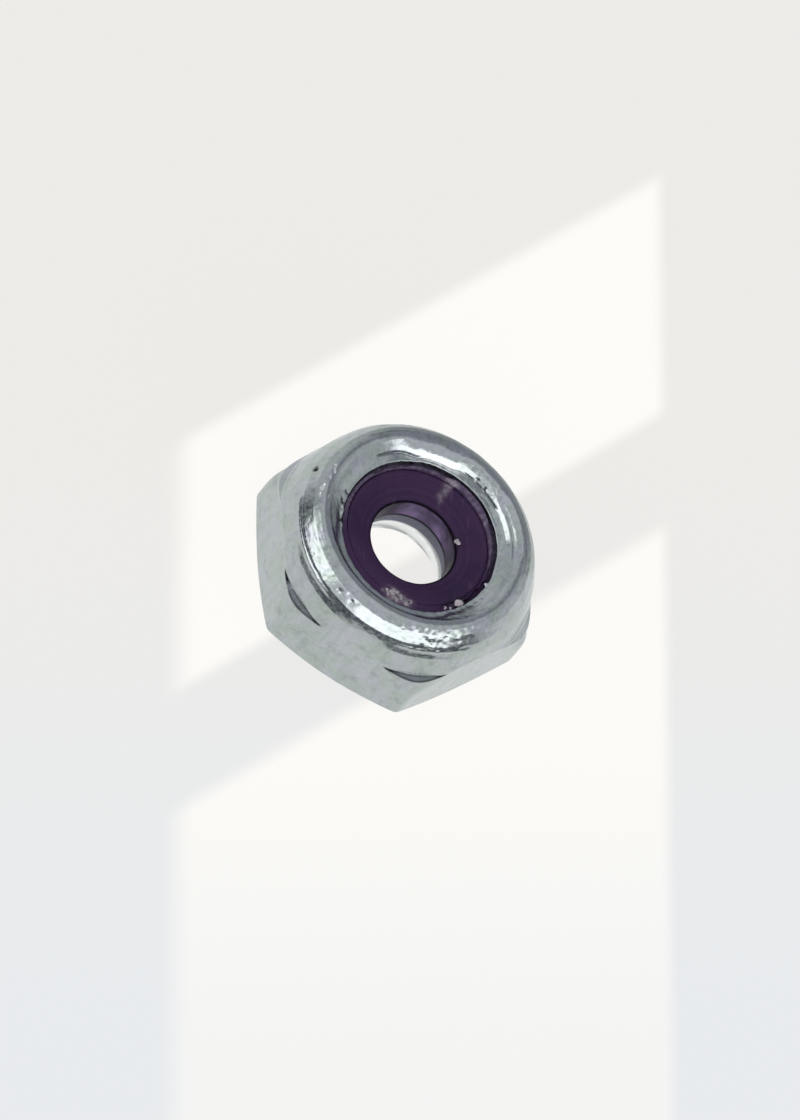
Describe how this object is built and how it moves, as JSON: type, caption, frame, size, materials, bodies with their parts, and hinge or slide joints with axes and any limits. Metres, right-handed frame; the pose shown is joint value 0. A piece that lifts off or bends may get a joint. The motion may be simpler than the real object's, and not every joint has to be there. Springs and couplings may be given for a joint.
{
  "type": "nylon insert lock nut",
  "caption": "Hexagon lock nut with a rounded collar whose edge is turned in over a purple nylon ring that grips the thread of a screw.",
  "frame": {"origin": "centre of the flat bearing face", "axes": "+Z along the thread's axis, from the bearing face to the collar; two corners of the hexagon lie on the X axis and two flats face +Y and -Y"},
  "size_m": [0.0092, 0.008, 0.0035],
  "materials": {
    "zinc_plated_steel": "bright zinc plate, satin on the flats and shiny on the collar",
    "purple_nylon": "semi-matt moulded nylon"
  },
  "bodies": {
    "root": {"nut_body": "zinc_plated_steel", "nylon_insert": "purple_nylon"}
  },
  "joints": []
}
